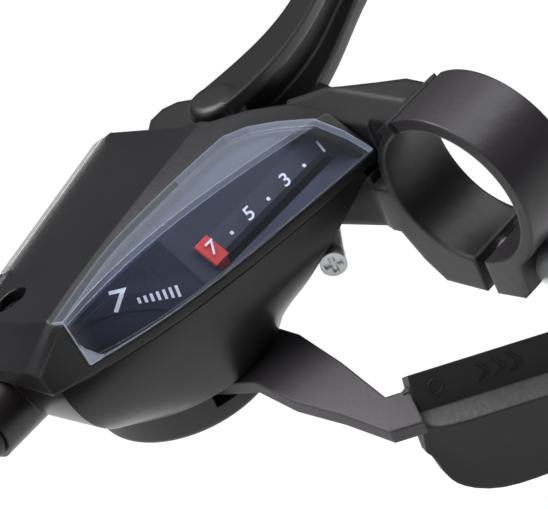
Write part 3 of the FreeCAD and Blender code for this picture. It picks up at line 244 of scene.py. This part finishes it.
def thread_tree():
    """A round ridge swept along a helix."""
    tree, source = open_tree("rolled_thread", {**{name: "Float" for name in THREAD}, "Metal": "Material"})
    nodes, link = tree.nodes, tree.links.new
    spiral = nodes.new("GeometryNodeCurveSpiral")
    spiral.inputs["Resolution"].default_value = TURN_POINTS
    height = nodes.new("ShaderNodeMath")
    height.operation = "MULTIPLY"
    link(source.outputs["Pitch"], height.inputs[0])
    link(source.outputs["Turns"], height.inputs[1])
    link(source.outputs["Turns"], spiral.inputs["Rotations"])
    link(source.outputs["Radius"], spiral.inputs["Start Radius"])
    link(source.outputs["Radius"], spiral.inputs["End Radius"])
    link(height.outputs[0], spiral.inputs["Height"])
    ridge = nodes.new("GeometryNodeCurvePrimitiveCircle")
    ridge.inputs["Resolution"].default_value = RIDGE_POINTS
    link(source.outputs["Ridge"], ridge.inputs["Radius"])
    sweep = nodes.new("GeometryNodeCurveToMesh")
    sweep.inputs["Fill Caps"].default_value = True
    link(spiral.outputs["Curve"], sweep.inputs["Curve"])
    link(ridge.outputs["Curve"], sweep.inputs["Profile Curve"])
    close_tree(tree, sweep.outputs["Mesh"], source.outputs["Metal"])
    return tree


def grown(name, tree, values):
    """Runs a node tree once and keeps its plain mesh."""
    seed = bpy.data.objects.new(name + "_seed", bpy.data.meshes.new(name + "_seed"))
    bpy.context.scene.collection.objects.link(seed)
    modifier = seed.modifiers.new("grow", "NODES")
    modifier.node_group = tree
    for item in tree.interface.items_tree:
        if item.in_out == "INPUT" and item.name in values:
            modifier[item.identifier] = values[item.name]
    bpy.context.view_layer.update()
    shape = seed.evaluated_get(bpy.context.evaluated_depsgraph_get())
    mesh = bpy.data.meshes.new_from_object(shape)
    bpy.data.objects.remove(seed)
    mesh.name = name
    return mesh


def settle(name, mesh, body, material=None):
    """Puts a finished mesh in the scene, riding on its body."""
    if material is not None:
        mesh.materials.clear()
        mesh.materials.append(material)
    piece = bpy.data.objects.new(name, mesh)
    bpy.context.scene.collection.objects.link(piece)
    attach(piece, body)


# The thread gets a brighter, less metallic copy of the zinc plating, painted light so it reads as lit where
# it sits in shade.
thread_zinc_bright = plated("zinc_painted_bright", (0.86, 0.88, 0.9), roughness=0.2, scale=2200.0, metal=0.35)
thread = grown("reach_thread", thread_tree(), {**THREAD, "Metal": thread_zinc_bright})
turn = SCREW_WAY.to_track_quat("Z", "Y").to_matrix().to_4x4()
thread.transform(Matrix.Translation(SCREW_HEAD) @ turn)
thread.polygons.foreach_set("use_smooth", [True] * len(thread.polygons))
settle("reach_thread", thread, "reach_screw")

# Cable adjusters
# Moulded thumb barrels with finger grooves, screwed into the bracket and the housing's snout,
# and the ring nut that locks the brake one.
adjuster_black = moulded("adjuster_black", (0.011, 0.011, 0.011), roughness=0.5, grain=1200.0, depth=0.00004)
for node in ("brake_adjuster", "brake_adjuster_locknut", "shift_adjuster"):
    dress(node, adjuster_black, degrees=30)

# Upper cover
# The faceted top shell, moulded in satin black with a fine spark-eroded grain.
# One screw in the round recess holds it to the lower housing.
# The cover's edges carry twice the usual painted highlight.
cover_black = moulded("cover_black", (0.0115, 0.0115, 0.0130),
                      roughness=0.36, grain=1600.0, depth=0.00003, edge=0.5, radius=0.0006)
dress("upper_cover", cover_black, degrees=9)

# Lower housing and bottom cap
# The smooth lower shell is polished in the tool, so it is glossier and a little brown;
# the cap under it closes the thumb lever's hub and is plain matte.
housing_black = moulded("housing_black", (0.0105, 0.0090, 0.0086),
                        roughness=0.32, grain=260.0, depth=0.00006, edge=0.1)
cap_black = moulded("cap_black", (0.021, 0.021, 0.022), roughness=0.5, grain=1100.0, depth=0.00004)
dress("lower_housing", housing_black, degrees=40)
dress("bottom_cap", cap_black, degrees=30)

# Badge plate
# A thin anodised strip stuck along the cover's front edge.
# It is brushed along its length and left bare.
badge = Finish("badge_silver")
brushed = badge.grain(900.0, stretch=(0.03, 1.0, 1.0))
badge_tone = badge.blend(brushed, (0.46, 0.46, 0.45, 1.0), (0.62, 0.62, 0.61, 1.0))
badge_bump = badge.bump(brushed, 0.4, 0.00002, badge.soft_edges(0.00025))
badge.surface(Base_Color=badge_tone, Metallic=0.75, Roughness=0.34 + brushed * 0.14, Normal=badge_bump)
dress("badge_plate", badge.material, degrees=20)

# Dial plate and drum
# The dial is a dark blue tray that closes the space under the window.
# The drum is a pale moulded spool beneath it, on the main axle.
dial = Finish("dial_navy")
dial_drift = dial.grain(60.0, 3.0)
dial_tone = dial.blend(dial_drift, (0.010, 0.012, 0.026, 1.0), (0.018, 0.021, 0.042, 1.0))
dial_bump = dial.bump(dial.grain(2600.0, 1.0), 0.4, 0.00002)
dial.surface(Base_Color=dial_tone, Roughness=0.42 + dial_drift * 0.12, Normal=dial_bump)
dress("dial_plate", dial.material, degrees=20)
spool_ivory = moulded("spool_ivory", (0.62, 0.61, 0.57), roughness=0.5, grain=800.0, depth=0.00003)
dress("cable_drum", spool_ivory, degrees=30)

# Indicator
# A red moulded slide whose fork the drum drives.
# Its flag runs along the dial behind the numbers.
indicator_red = moulded("indicator_red", (0.72, 0.035, 0.02), roughness=0.38, grain=900.0, depth=0.00002,
                        tint=0.4)
dress("indicator", indicator_red, degrees=20)

# Number film
# A clear strip that stands on its two bent ends over the dial, so the flag passes under it.
# The numbers, dots and tally are printed on it and on the dial in white ink.
SLOPE = math.radians(41.0)
DIAL_UP = Vector((0.0, math.cos(SLOPE), math.sin(SLOPE)))
DIAL_OUT = Vector((0.0, -math.sin(SLOPE), math.cos(SLOPE)))
NUMBER_ROW = Vector((0.0, 0.0234, 0.005))
TOP_GEAR = 7
TOP_GEAR_X, GEAR_PITCH = -0.0279, 0.0038
DIAL_FACE = -0.0012


def on_dial(x, up, out):
    """A place over the sloping dial: along the bar, up the slope and out from it."""
    return NUMBER_ROW + Vector((x, 0.0, 0.0)) + DIAL_UP * up + DIAL_OUT * out


def strip_mesh(name, line, low, high, thick):
    """A flat strip that follows a line of places along the bar and heights over the dial."""
    mesh = bpy.data.meshes.new(name)
    bm = bmesh.new()
    rows = [[bm.verts.new(on_dial(x, up, out)) for x, out in line] for up in (low, high)]
    for k in range(len(line) - 1):
        bm.faces.new((rows[0][k], rows[0][k + 1], rows[1][k + 1], rows[1][k]))
    bmesh.ops.solidify(bm, geom=bm.faces[:], thickness=thick)
    bmesh.ops.recalc_face_normals(bm, faces=bm.faces[:])
    bm.to_mesh(mesh)
    bm.free()
    return mesh


film = Finish("film_clear")
film_haze = film.grain(300.0)
film.surface(Base_Color=(0.9, 0.93, 1.0, 1.0), Roughness=0.1, Alpha=0.01 + film_haze * 0.015)
FILM_ENDS = (-0.02972, -0.00364)
FILM_LEVEL = -0.0001
FILM_EDGES = (-0.0022, 0.0016)
FILM_THICK = 0.00008
film_line = [(FILM_ENDS[0], DIAL_FACE), (FILM_ENDS[0], FILM_LEVEL), (FILM_ENDS[1], FILM_LEVEL),
             (FILM_ENDS[1], DIAL_FACE)]
film_mesh = strip_mesh("number_film", film_line, FILM_EDGES[0], FILM_EDGES[1], FILM_THICK)
settle("number_film", film_mesh, "base", film.material)

INK_THICK = 0.00002
INK_LIFT = 0.00001
SIGN_SLANT, SIGN_BOLD, SIGN_WIDE = 0.18, 0.012, 1.15
ink = Finish("white_ink")
ink_grain = ink.grain(1500.0)
ink_tone = ink.blend(ink_grain, (0.86, 0.87, 0.9, 1.0), (0.98, 0.98, 1.0, 1.0))
ink.surface(Base_Color=ink_tone, Roughness=0.5 + ink_grain * 0.1)


def flat_sign(word, size):
    """A plain number as a thin printed mesh, centred on its own middle."""
    curve = bpy.data.curves.new("sign", "FONT")
    curve.body = word
    curve.size = size
    curve.shear = SIGN_SLANT
    curve.align_x = "CENTER"
    curve.align_y = "CENTER"
    curve.extrude = INK_THICK / 2
    curve.offset = size * SIGN_BOLD
    holder = bpy.data.objects.new("sign", curve)
    bpy.context.scene.collection.objects.link(holder)
    bpy.context.view_layer.update()
    shape = holder.evaluated_get(bpy.context.evaluated_depsgraph_get())
    mesh = bpy.data.meshes.new_from_object(shape)
    bpy.data.objects.remove(holder)
    mesh.transform(Matrix.Diagonal((SIGN_WIDE, 1.0, 1.0, 1.0)))
    return mesh


def on_plane(origin, across, upward):
    """Puts a flat mesh at a place, its X and Y along the two directions."""
    out = across.cross(upward)
    turn = Matrix((across, upward, out)).transposed().to_4x4()
    return Matrix.Translation(origin) @ turn


PRINT_WAY = Vector((-0.51, -0.68, 0.53)).normalized()
PRINT_FROM = 0.012
PRINT_LIFT = 0.00004


def laid_on(mesh, node):
    """Lays a flat print on the face below it, along one slanting direction."""
    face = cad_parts[node]
    under = BVHTree.FromPolygons([face.matrix_world @ v.co for v in face.data.vertices],
                                 [p.vertices[:] for p in face.data.polygons])
    bm = bmesh.new()
    bm.from_mesh(mesh)
    bmesh.ops.triangulate(bm, faces=bm.faces[:])
    bmesh.ops.subdivide_edges(bm, edges=bm.edges[:], cuts=5, use_grid_fill=True)
    bm.to_mesh(mesh)
    bm.free()
    for vertex in mesh.vertices:
        level = (vertex.co - NUMBER_ROW).dot(DIAL_OUT)
        hit = under.ray_cast(vertex.co + PRINT_WAY * PRINT_FROM, -PRINT_WAY)[0]
        vertex.co = hit + DIAL_OUT * (PRINT_LIFT + level - DIAL_FACE)


ALONG_BAR = Vector((1.0, 0.0, 0.0))
ROW_FALL = 0.00015
ROW_WAY = (ALONG_BAR * GEAR_PITCH - DIAL_UP * ROW_FALL).normalized()
ROW_UP = DIAL_OUT.cross(ROW_WAY)
NUMBER_SIZE = 0.0027
for gear in (7, 5, 3, 1):
    number = flat_sign(str(gear), NUMBER_SIZE)
    steps = TOP_GEAR - gear
    place = on_dial(TOP_GEAR_X + steps * GEAR_PITCH, -ROW_FALL * steps, INK_LIFT)
    number.transform(on_plane(place, ROW_WAY, ROW_UP))
    settle("number_%d" % gear, number, "base", ink.material)


def row_tree():
    """Bars on a line: each is a box, a little taller than the one before."""
    tree, source = open_tree("row_of_marks", {"Count": "Int", "Pitch": "Float", "Width": "Float",
                                              "Height": "Float", "Growth": "Float", "Thick": "Float",
                                              "Ink": "Material"})
    nodes, link = tree.nodes, tree.links.new
    step = nodes.new("ShaderNodeCombineXYZ")
    link(source.outputs["Pitch"], step.inputs["X"])
    line = nodes.new("GeometryNodeMeshLine")
    link(source.outputs["Count"], line.inputs["Count"])
    link(step.outputs[0], line.inputs["Offset"])
    size = nodes.new("ShaderNodeCombineXYZ")
    for name, axis in (("Width", "X"), ("Height", "Y"), ("Thick", "Z")):
        link(source.outputs[name], size.inputs[axis])
    bar = nodes.new("GeometryNodeMeshCube")
    link(size.outputs[0], bar.inputs["Size"])
    index = nodes.new("GeometryNodeInputIndex")
    more = nodes.new("ShaderNodeMath")
    more.operation = "MULTIPLY_ADD"
    link(index.outputs[0], more.inputs[0])
    link(source.outputs["Growth"], more.inputs[1])
    more.inputs[2].default_value = 1.0
    scale = nodes.new("ShaderNodeCombineXYZ")
    scale.inputs["X"].default_value = 1.0
    scale.inputs["Z"].default_value = 1.0
    link(more.outputs[0], scale.inputs["Y"])
    place = nodes.new("GeometryNodeInstanceOnPoints")
    link(line.outputs["Mesh"], place.inputs["Points"])
    link(bar.outputs["Mesh"], place.inputs["Instance"])
    link(scale.outputs[0], place.inputs["Scale"])
    close_tree(tree, place.outputs["Instances"], source.outputs["Ink"])
    return tree


DOT_SIZE = 0.0005
DOT_DROP = 0.0003
marks = row_tree()
dots = grown("gear_dots", marks, {"Count": 3, "Pitch": 2 * GEAR_PITCH, "Width": DOT_SIZE, "Height": DOT_SIZE,
                                  "Growth": 0.0, "Thick": INK_THICK, "Ink": ink.material})
first_dot = on_dial(TOP_GEAR_X + GEAR_PITCH, -DOT_DROP - ROW_FALL, INK_LIFT)
dots.transform(on_plane(first_dot, ROW_WAY, ROW_UP))
settle("gear_dots", dots, "base")

TALLY_TURN = math.radians(31)
TALLY_WAY = ALONG_BAR * math.cos(TALLY_TURN) - DIAL_UP * math.sin(TALLY_TURN)
TALLY_UP = ALONG_BAR * math.sin(TALLY_TURN) + DIAL_UP * math.cos(TALLY_TURN)
COUNT_PLACE, COUNT_SIZE = (-0.0425, 0.0043), 0.0046
TALLY_PLACE = (-0.0402, 0.0023)
big_seven = flat_sign(str(TOP_GEAR), COUNT_SIZE)
big_seven.transform(on_plane(on_dial(*COUNT_PLACE, DIAL_FACE + INK_LIFT), TALLY_WAY, TALLY_UP))
laid_on(big_seven, "dial_plate")
settle("gear_count", big_seven, "base", ink.material)
tally = grown("gear_tally", marks, {"Count": TOP_GEAR, "Pitch": 0.00092, "Width": 0.00042, "Height": 0.0009,
                                    "Growth": 0.16, "Thick": INK_THICK, "Ink": ink.material})
tally.transform(on_plane(on_dial(*TALLY_PLACE, DIAL_FACE + INK_LIFT), TALLY_WAY, TALLY_UP))
laid_on(tally, "dial_plate")
settle("gear_tally", tally, "base")

# Lens
# One clear moulding with a facet over the numbers and one towards the crest, both faintly frosted; the crest
# facet also carries a pale painted reflection.
# Its cut rim and the ridge between the facets are painted pale blue, a painted highlight for the light they
# catch.
NUMBER_FACET = (0.02, -0.73, 0.68)
CREST_FACET = (0.02, 0.16, 0.98)
FACET_LEAST, CREST_LEAST = 0.8, 0.9
RIM_GLOW, RIDGE_GLOW = 0.6, 0.45
FROST, CREST_SHEEN_PAINT = 0.012, 0.09
lens = Finish("lens_clear")
lens_round = lens.soft_edges(0.00035)
lens_face = lens.node("ShaderNodeNewGeometry", output="Normal")
inside = lens.node("ShaderNodeNewGeometry", output="Backfacing")
number_side = lens.facing(lens_face, NUMBER_FACET)
crest_side = lens.facing(lens_face, CREST_FACET)
facets = lens.node("ShaderNodeMath", {"operation": "MAXIMUM"}, {0: number_side, 1: crest_side})
backs = lens.node("ShaderNodeMath", {"operation": "MINIMUM"}, {0: number_side, 1: crest_side})
rim = lens.clamp((1.0 - (facets > FACET_LEAST)) * (1.0 - (-FACET_LEAST - backs > 0.0)))
flow = lens.grain(130.0)
lens_bump = lens.bump(flow, 0.15, 0.00002, lens_round)
clear = lens.node("ShaderNodeBsdfTransparent", {}, {"Color": (0.93, 0.95, 1.0, 1.0)})
gloss = lens.node("ShaderNodeBsdfGlossy", {}, {"Color": (1.0, 1.0, 1.0, 1.0), "Roughness": 0.17,
                                               "Normal": lens_bump})
sheen = lens.node("ShaderNodeFresnel", {}, {"IOR": 1.5, "Normal": lens_bump})
pane = lens.node("ShaderNodeMixShader", {}, {0: sheen * (1.0 - inside), 1: clear, 2: gloss})
# The pale blue opaque skin below is mixed in at the rim and the ridge as a painted highlight, and on the
# crest facet as a painted reflection.
lens.surface(Base_Color=(0.62, 0.68, 0.82, 1.0), Roughness=0.12 + flow * 0.1, Normal=lens_bump)
body = Tap(lens.tree, lens.shader.outputs[0])
# The crest facet gets an extra share of the pale skin, a painted reflection.
frost_and_crest_sheen = FROST + (crest_side > CREST_LEAST) * CREST_SHEEN_PAINT
pale_mix_share = lens.clamp(rim * RIM_GLOW + lens.edge_share(lens_round) * RIDGE_GLOW + frost_and_crest_sheen)
whole_lens = lens.node("ShaderNodeMixShader", {}, {0: pale_mix_share, 1: pane, 2: body})
whole_lens.feed(lens.tree.nodes["Material Output"].inputs["Surface"])
dress("lens", lens.material, degrees=16)

# Thumb arm and release arm
# Stamped steel levers with a grey-violet paint, their edges painted a little paler as a painted highlight.
# The thumb arm turns on the main axle and the release arm on a pin of its own.
arm_paint = moulded("arm_paint", (0.066, 0.060, 0.068),
                    roughness=0.44, grain=620.0, depth=0.00004, edge=0.2, radius=0.0006)
dress("thumb_arm", arm_paint, degrees=20)
dress("release_arm", arm_paint, degrees=20)

# Thumb pad and release pad
# Moulded paddles fixed over the ends of the two arms.
# The push faces are smooth, and the sloping ledge has a coarser sparkling grain for grip; it is painted
# paler, partly for its grey grip finish and partly as painted light from above.
PAD_START = Vector((-0.0221, 0.0032, -0.0182))
PAD_ALONG = Vector((0.835, -0.51, -0.213)).normalized()
PAD_BACK = PAD_ALONG.cross(Vector((0.0, 0.0, 1.0))).normalized()
PAD_RISE = PAD_BACK.cross(PAD_ALONG).normalized()
LEDGE_OUT = (PAD_BACK * 0.38 + PAD_RISE * 0.92).normalized()
grip = Finish("grip_black")
grip_round = grip.soft_edges(0.0006)
grip_normal = grip.node("ShaderNodeTexCoord", output="Normal")
ledge = grip.node("ShaderNodeMapRange", {}, {"Value": grip.facing(grip_normal, LEDGE_OUT), "From Min": 0.86,
                                             "From Max": 0.93})
sparkle = grip.grain(1500.0)
grip_tone = grip.blend(grip.grain(70.0, 3.0), (0.013, 0.0126, 0.0134, 1.0), (0.018, 0.0174, 0.018, 1.0))
# The ledge tone is partly its grey grip finish and partly painted light from above.
ledge_grain_and_painted_light = grip.blend(sparkle, (0.03, 0.031, 0.030, 1.0), (0.085, 0.087, 0.084, 1.0))
grip_tone = grip.blend(ledge, grip_tone, ledge_grain_and_painted_light)
# The edges are blended paler, a painted highlight.
grip_tone = grip.blend(grip.edge_share(grip_round) * 0.25, grip_tone, (0.05, 0.05, 0.05, 1.0))
grip_bump = grip.bump(sparkle * (0.25 + ledge), 0.8, 0.00008, grip_round)
grip.surface(Base_Color=grip_tone, Roughness=0.52 + sparkle * 0.1, Normal=grip_bump)
dress("thumb_pad", grip.material, degrees=22)
dress("release_pad", grip.material, degrees=22)

# Marks on the thumb pad
# A raised ring and three raised chevrons on the upper push face.
# They are moulded with the pad and move with it.
MARK_HEIGHT = 0.0002
MARK_SINK = 0.00006
MARK_DOWN = 0.0025
RING_ALONG, RING_OUTER, RING_INNER = 0.0033, 0.00115, 0.00088
ARROWS_ALONG, ARROW_PITCH = 0.0100, 0.0023
ARROW_SIZE, ARROW_LINE, ARROW_BAND = 0.00135, 0.0008, 0.12
FACE_DOWN = (PAD_BACK * 0.289 - PAD_RISE * 0.957).normalized()
FACE_UP = -FACE_DOWN


def on_pad(along):
    """Puts a flat mesh on the pad's upper push face."""
    face = PAD_ALONG.cross(FACE_UP)
    place = PAD_START + PAD_ALONG * along + FACE_DOWN * MARK_DOWN - face * MARK_SINK
    return on_plane(place, PAD_ALONG, FACE_UP)


def raised(name, outlines):
    """Flat bands between two closed outlines, given a small height."""
    mesh = bpy.data.meshes.new(name)
    bm = bmesh.new()
    for loop in outlines:
        low = [[bm.verts.new((x, y, 0.0)) for x, y in ring] for ring in loop]
        high = [[bm.verts.new((x, y, MARK_HEIGHT)) for x, y in ring] for ring in loop]
        count = len(loop[0])
        for k in range(count):
            n = (k + 1) % count
            bm.faces.new((high[0][k], high[0][n], high[1][n], high[1][k]))
            bm.faces.new((low[0][k], low[0][n], high[0][n], high[0][k]))
            bm.faces.new((high[1][k], high[1][n], low[1][n], low[1][k]))
            bm.faces.new((low[1][k], low[1][n], low[0][n], low[0][k]))
    bmesh.ops.recalc_face_normals(bm, faces=bm.faces[:])
    bm.to_mesh(mesh)
    bm.free()
    return mesh


def circle(radius, count=40):
    """An even ring of points."""
    turns = [2 * math.pi * k / count for k in range(count)]
    return [(radius * math.cos(turn), radius * math.sin(turn)) for turn in turns]


def chevron(x):
    """An arrow's outline and the same outline drawn in a little."""
    size, line = ARROW_SIZE, ARROW_LINE
    outer = [(x, -size), (x + size, 0.0), (x, size),
             (x - line, size), (x + size - line, 0.0), (x - line, -size)]
    middle = x + size / 2 - line / 2
    inner = [(px + (middle - px) * ARROW_BAND, py * (1.0 - ARROW_BAND)) for px, py in outer]
    return [outer, inner]


ring_mark = raised("pad_ring", [[circle(RING_OUTER), circle(RING_INNER)]])
ring_mark.transform(on_pad(RING_ALONG))
settle("pad_ring", ring_mark, "thumb_lever", grip.material)
arrows = raised("pad_arrows", [chevron(ARROW_PITCH * k) for k in range(3)])
arrows.transform(on_pad(ARROWS_ALONG))
settle("pad_arrows", arrows, "thumb_lever", grip.material)

# Studio
# A pale floor well below the held unit, one broad soft lamp overhead, two weaker side lamps
# and a white surround.
FLOOR_Z, FLOOR_HALF, FLOOR_WHITE = -0.16, 3.0, 0.72
floor_mesh = bpy.data.meshes.new("floor")
floor_corners = [(x * FLOOR_HALF, y * FLOOR_HALF, FLOOR_Z) for x, y in ((-1, -1), (1, -1), (1, 1), (-1, 1))]
floor_mesh.from_pydata(floor_corners, [], [(0, 1, 2, 3)])
floor = bpy.data.objects.new("floor", floor_mesh)
bpy.context.scene.collection.objects.link(floor)
floor_finish = Finish("floor_pale")
path = floor_finish.tree.nodes.new("ShaderNodeLightPath")
SEEN_BY = ("Is Camera Ray", "Is Transmission Ray")
seen = [Tap(floor_finish.tree, path.outputs[name]) for name in SEEN_BY]
shown = floor_finish.clamp(seen[0] + seen[1])
white = floor_finish.node("ShaderNodeEmission", {}, {"Color": (1.0, 1.0, 1.0, 1.0), "Strength": 1.0})
floor_finish.surface(Base_Color=(0.86, 0.86, 0.86, 1.0), Roughness=0.9)
ground = Tap(floor_finish.tree, floor_finish.shader.outputs[0])
mixed = floor_finish.node("ShaderNodeMixShader", {}, {0: shown * FLOOR_WHITE, 1: ground, 2: white})
mixed.feed(floor_finish.tree.nodes["Material Output"].inputs["Surface"])
floor_mesh.materials.append(floor_finish.material)

# The surround is white to the eye and dim as a light.
world = bpy.data.worlds.new("surround")
world.use_nodes = True
bpy.context.scene.world = world
sky = world.node_tree
air = sky.nodes["Background"]
air.inputs["Color"].default_value = (1.0, 1.0, 1.0, 1.0)
route = sky.nodes.new("ShaderNodeLightPath")
rays = [Tap(sky, route.outputs[name]) for name in SEEN_BY]
DIM = 0.06
level = DIM + (rays[0] + rays[1]) * (1.0 - DIM)
level.feed(air.inputs["Strength"])


def lamp(name, place, aim, size, power):
    """A broad soft lamp, turned towards a place."""
    light = bpy.data.lights.new(name, "AREA")
    light.shape = "RECTANGLE"
    light.size, light.size_y = size
    light.energy = power
    holder = bpy.data.objects.new(name, light)
    holder.location = place
    holder.rotation_mode = "QUATERNION"
    holder.rotation_quaternion = (Vector(aim) - Vector(place)).to_track_quat("-Z", "Y")
    bpy.context.scene.collection.objects.link(holder)


lamp("overhead", place=(-0.05, 0.25, 0.75), aim=(-0.01, 0.02, 0.0), size=(0.7, 0.6), power=11.0)
lamp("left", place=(-0.7, 0.1, 0.35), aim=(-0.03, 0.03, 0.0), size=(0.5, 0.4), power=1.0)
lamp("right", place=(0.5, -0.1, 0.5), aim=(0.0, 0.0, -0.01), size=(0.4, 0.4), power=1.8)

# The camera stands above the bar, on the rider's side and towards the stem, with a long lens.
eye = bpy.data.cameras.new("camera")
eye.sensor_width = 36.0
eye.lens = 196.8
eye.clip_start = 0.01
camera = bpy.data.objects.new("camera", eye)
right = Vector((0.614, -0.697, -0.370))
up = Vector((0.633, 0.1545, 0.7586))
back = Vector((-0.472, -0.700, 0.536))
stand = Matrix.Translation((-0.2123, -0.2629, 0.2161))
camera.matrix_world = stand @ Matrix((right, up, back)).transposed().to_4x4()
bpy.context.scene.collection.objects.link(camera)
bpy.context.scene.camera = camera
bpy.context.scene.view_settings.view_transform = "Standard"
